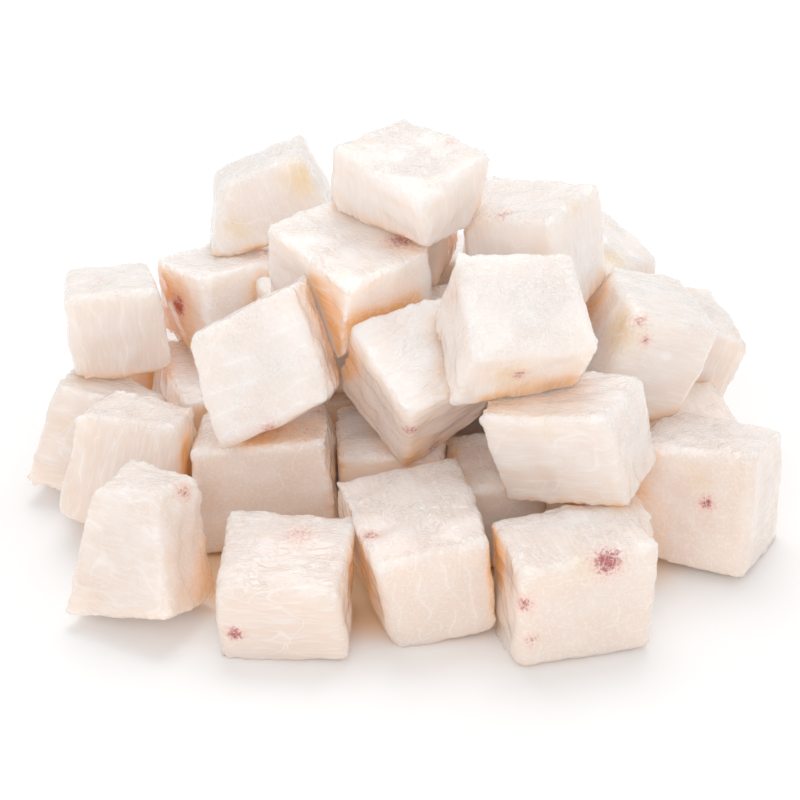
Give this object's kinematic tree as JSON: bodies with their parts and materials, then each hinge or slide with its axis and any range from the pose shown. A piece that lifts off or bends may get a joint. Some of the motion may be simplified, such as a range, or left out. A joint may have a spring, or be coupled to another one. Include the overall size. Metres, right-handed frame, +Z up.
{
  "type": "heap of diced raw sole",
  "caption": "Loose heap of hand-cut cubes of raw white fish, piled in a low mound that stands on its flat-bottomed lowest cubes.",
  "frame": {"origin": "middle of the heap's box, at the height of the surface that it stands on", "axes": "+X to the right along the heap's longest side, +Y from the shown side to the back, +Z up"},
  "size_m": [0.1674, 0.1428, 0.0845],
  "materials": {
    "raw_fish": "wet, translucent, pale pinkish white"
  },
  "bodies": {
    "root": {"floor_cube_01": "raw_fish", "floor_cube_02": "raw_fish", "floor_cube_03": "raw_fish", "floor_cube_04": "raw_fish", "floor_cube_05": "raw_fish", "floor_cube_06": "raw_fish", "floor_cube_07": "raw_fish", "floor_cube_08": "raw_fish", "floor_cube_09": "raw_fish", "floor_cube_10": "raw_fish", "floor_cube_11": "raw_fish", "floor_cube_12": "raw_fish", "floor_cube_13": "raw_fish", "floor_cube_14": "raw_fish", "floor_cube_15": "raw_fish", "floor_cube_16": "raw_fish", "floor_cube_17": "raw_fish", "floor_cube_18": "raw_fish", "floor_cube_19": "raw_fish", "floor_cube_20": "raw_fish", "floor_cube_21": "raw_fish", "floor_cube_22": "raw_fish", "floor_cube_23": "raw_fish", "second_cube_01": "raw_fish", "second_cube_02": "raw_fish", "second_cube_03": "raw_fish", "second_cube_04": "raw_fish", "second_cube_05": "raw_fish", "second_cube_06": "raw_fish", "second_cube_07": "raw_fish", "second_cube_08": "raw_fish", "second_cube_09": "raw_fish", "second_cube_10": "raw_fish", "second_cube_11": "raw_fish", "second_cube_12": "raw_fish", "second_cube_13": "raw_fish", "third_cube_01": "raw_fish", "third_cube_02": "raw_fish", "third_cube_03": "raw_fish", "third_cube_04": "raw_fish", "third_cube_05": "raw_fish", "top_cube_01": "raw_fish"}
  },
  "joints": []
}
